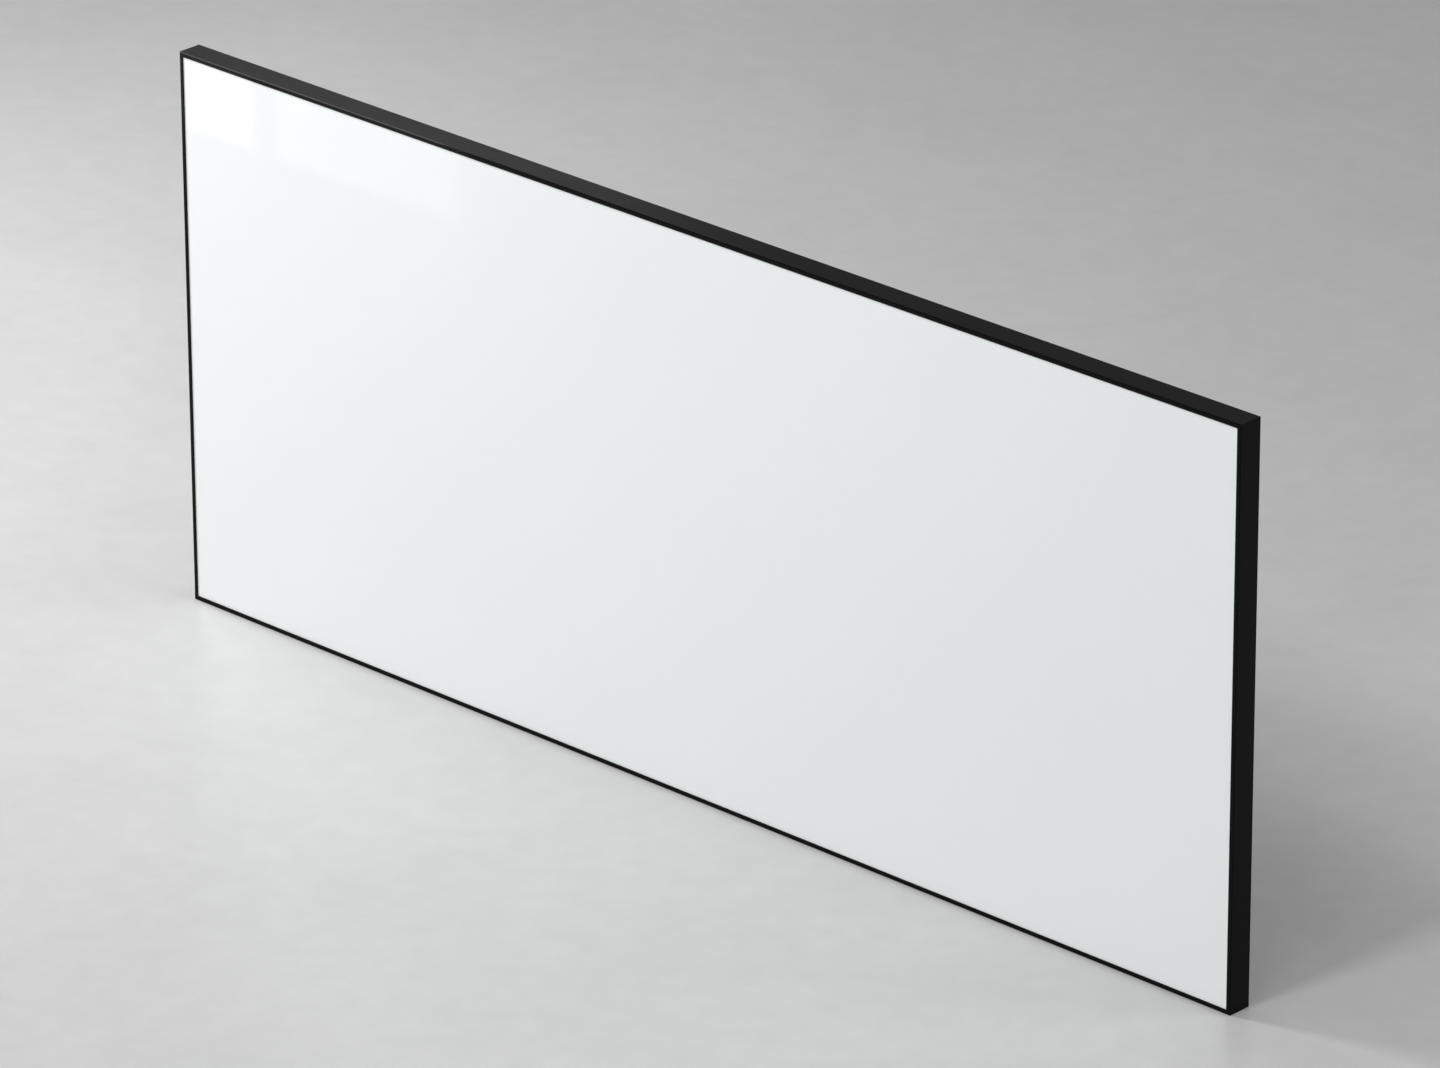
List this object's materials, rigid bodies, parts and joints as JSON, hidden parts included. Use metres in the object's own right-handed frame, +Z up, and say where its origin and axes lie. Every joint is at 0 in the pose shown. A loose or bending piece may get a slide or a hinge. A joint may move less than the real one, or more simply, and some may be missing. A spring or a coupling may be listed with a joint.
{
  "type": "fixed frame projector screen",
  "caption": "Slim black fixed frame projector screen with a taut white sheet, rear tension rods and clips, a centre support bar and keyhole hanger plates.",
  "frame": {"origin": "middle of the bottom edge, at half the frame's depth", "axes": "+X to the right as the viewer sees the picture, +Y from the picture to the wall, +Z up"},
  "size_m": [2.353, 0.046, 1.01],
  "materials": {
    "trim": "black satin anodised, fine brushed",
    "rail": "black anodised extrusion",
    "sheet": "smooth white projection surface with a slight sheen",
    "hem": "black coated fabric, matt",
    "rod": "pultruded glass fibre, satin",
    "clip": "black moulded nylon",
    "bracket": "zinc-plated steel"
  },
  "bodies": {
    "root": {"trim_top": "trim", "rail_top": "rail", "hem_top": "hem", "tension_rod_top": "rod", "tension_clip_top_01": "clip", "tension_clip_top_02": "clip", "tension_clip_top_03": "clip", "tension_clip_top_04": "clip", "tension_clip_top_05": "clip", "tension_clip_top_06": "clip", "tension_clip_top_07": "clip", "tension_clip_top_08": "clip", "tension_clip_top_09": "clip", "tension_clip_top_10": "clip", "trim_right": "trim", "rail_right": "rail", "hem_right": "hem", "tension_rod_right": "rod", "tension_clip_right_01": "clip", "tension_clip_right_02": "clip", "tension_clip_right_03": "clip", "tension_clip_right_04": "clip", "tension_clip_right_05": "clip", "trim_bottom": "trim", "rail_bottom": "rail", "hem_bottom": "hem", "tension_rod_bottom": "rod", "tension_clip_bottom_01": "clip", "tension_clip_bottom_02": "clip", "tension_clip_bottom_03": "clip", "tension_clip_bottom_04": "clip", "tension_clip_bottom_05": "clip", "tension_clip_bottom_06": "clip", "tension_clip_bottom_07": "clip", "tension_clip_bottom_08": "clip", "tension_clip_bottom_09": "clip", "tension_clip_bottom_10": "clip", "trim_left": "trim", "rail_left": "rail", "hem_left": "hem", "tension_rod_left": "rod", "tension_clip_left_01": "clip", "tension_clip_left_02": "clip", "tension_clip_left_03": "clip", "tension_clip_left_04": "clip", "tension_clip_left_05": "clip", "corner_bracket_top_left": "bracket", "corner_bracket_top_right": "bracket", "corner_bracket_bottom_right": "bracket", "corner_bracket_bottom_left": "bracket", "screen_sheet": "sheet", "support_bar": "rail", "bar_plate_top": "bracket", "bar_plate_bottom": "bracket", "hanger_plate_left": "bracket", "hanger_plate_right": "bracket"}
  },
  "joints": []
}
